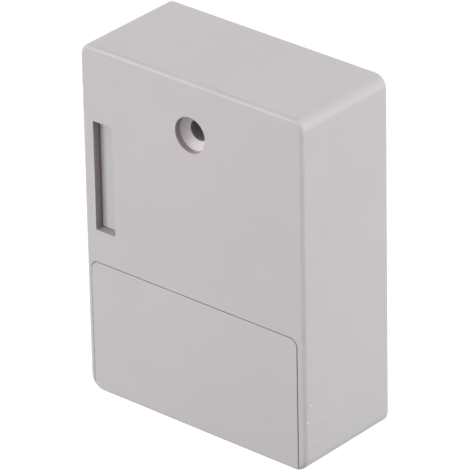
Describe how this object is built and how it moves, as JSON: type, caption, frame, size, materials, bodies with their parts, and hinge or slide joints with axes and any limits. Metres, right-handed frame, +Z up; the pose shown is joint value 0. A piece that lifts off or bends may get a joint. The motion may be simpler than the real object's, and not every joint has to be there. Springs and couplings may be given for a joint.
{
  "type": "rfid lock",
  "caption": "Hidden card-operated cabinet lock: upright box with a strike slot, a sprung ejector, a motor-driven latch bolt and a battery cover that slides off downwards.",
  "frame": {"origin": "middle of the bottom face of the case's bounding box", "axes": "+X to the right seen from the front, +Y from the front face to the mounting back, +Z up"},
  "size_m": [0.0658, 0.0296, 0.09],
  "materials": {
    "case_plastic": "fine satin moulded texture, warm light grey",
    "cover_plastic": "fine satin moulded texture, warm light grey",
    "ejector_plastic": "smooth natural white, a little cooler than the case",
    "frame_plastic": "dark grey moulded plastic",
    "gear_plastic": "smooth natural acetal",
    "black_plastic": "black moulded plastic",
    "plunger_plastic": "smooth red plastic",
    "connector_plastic": "smooth ivory plastic",
    "steel": "ground steel",
    "screw_steel": "zinc plated",
    "spring_steel": "nickel plated",
    "motor_steel": "drawn and plated",
    "brass": "turned",
    "aluminium": "drawn can",
    "cell_wrap": "plain dark sleeve, no print",
    "board_laminate": "green solder mask",
    "copper": "copper track under mask",
    "chip_ceramic": "ceramic bodies",
    "wire_red": "red sleeve",
    "wire_black": "black sleeve"
  },
  "bodies": {
    "case": {"antenna_track": "copper", "back_plate": "case_plastic", "back_plate_screws": "screw_steel", "battery_connector": "connector_plastic", "battery_lower": "cell_wrap", "battery_upper": "cell_wrap", "battery_wire_black": "wire_black", "battery_wire_red": "wire_red", "board_screws": "screw_steel", "bolt_sensor": "black_plastic", "buzzer": "black_plastic", "capacitor": "aluminium", "circuit_board": "board_laminate", "controller_chip": "black_plastic", "crystal": "motor_steel", "ejector_retainer": "frame_plastic", "ejector_spring_lower": "spring_steel", "ejector_spring_upper": "spring_steel", "final_gear_axle": "steel", "front_housing": "case_plastic", "learn_switch": "black_plastic", "link_contact": "spring_steel", "link_spring": "spring_steel", "mechanism_cover": "frame_plastic", "mechanism_frame": "frame_plastic", "mechanism_screws": "screw_steel", "motor_bearing": "brass", "motor_can": "motor_steel", "motor_connector": "connector_plastic", "motor_driver_chip": "black_plastic", "motor_end_cap": "black_plastic", "motor_terminals": "spring_steel", "motor_wire_black": "wire_black", "motor_wire_red": "wire_red", "negative_contact": "spring_steel", "negative_spring": "spring_steel", "positive_contact": "spring_steel", "reader_chip": "black_plastic", "reduction_gear_axle": "steel", "retainer_screws": "screw_steel", "small_parts": "chip_ceramic"},
    "cover": {"battery_cover": "cover_plastic"},
    "ejector": {"ejector": "ejector_plastic"},
    "bolt": {"latch_bolt": "steel", "bolt_carriage": "gear_plastic", "bolt_pin": "steel"},
    "final_gear": {"final_gear": "gear_plastic"},
    "reduction_gear": {"reduction_gear": "gear_plastic"},
    "motor_rotor": {"motor_shaft": "steel", "motor_pinion": "brass"},
    "learn_button": {"learn_button": "black_plastic", "learn_switch_plunger": "plunger_plastic"}
  },
  "joints": [
    {"name": "cover_slide", "type": "slide", "parent": "case", "child": "cover", "axis": [0, 0, -1], "range_m": [0, 0.036]},
    {"name": "bolt_slide", "type": "slide", "parent": "case", "child": "bolt", "axis": [-1, 0, 0], "range_m": [0, 0.0055]},
    {"name": "final_gear_turn", "type": "hinge", "parent": "case", "child": "final_gear", "pos_m": [-0.002, 0, 0.047], "axis": [0, 1, 0], "range_deg": [-105.09, 0]},
    {"name": "reduction_gear_turn", "type": "hinge", "parent": "case", "child": "reduction_gear", "pos_m": [0.0076, 0, 0.047], "axis": [0, 1, 0], "range_deg": [0, 399.36]},
    {"name": "motor_turn", "type": "hinge", "parent": "case", "child": "motor_rotor", "pos_m": [0.0172, 0, 0.047], "axis": [0, 1, 0], "range_deg": [-1517.57, 0]},
    {"name": "ejector_press", "type": "slide", "parent": "case", "child": "ejector", "axis": [0, 1, 0], "range_m": [0, 0.012], "stiffness_N_per_m": 620, "springref_m": -0.004, "deforming": ["ejector_spring_lower", "ejector_spring_upper"]},
    {"name": "learn_press", "type": "slide", "parent": "case", "child": "learn_button", "axis": [0, 1, 0], "range_m": [0, 0.0004], "stiffness_N_per_m": 2500, "springref_m": -0.0002}
  ],
  "couplings": [
    {"joint": "final_gear_turn", "follows": "bolt_slide", "rad_per_m": -333.33},
    {"joint": "reduction_gear_turn", "follows": "bolt_slide", "rad_per_m": 1266.7},
    {"joint": "motor_turn", "follows": "bolt_slide", "rad_per_m": -4813.3}
  ]
}
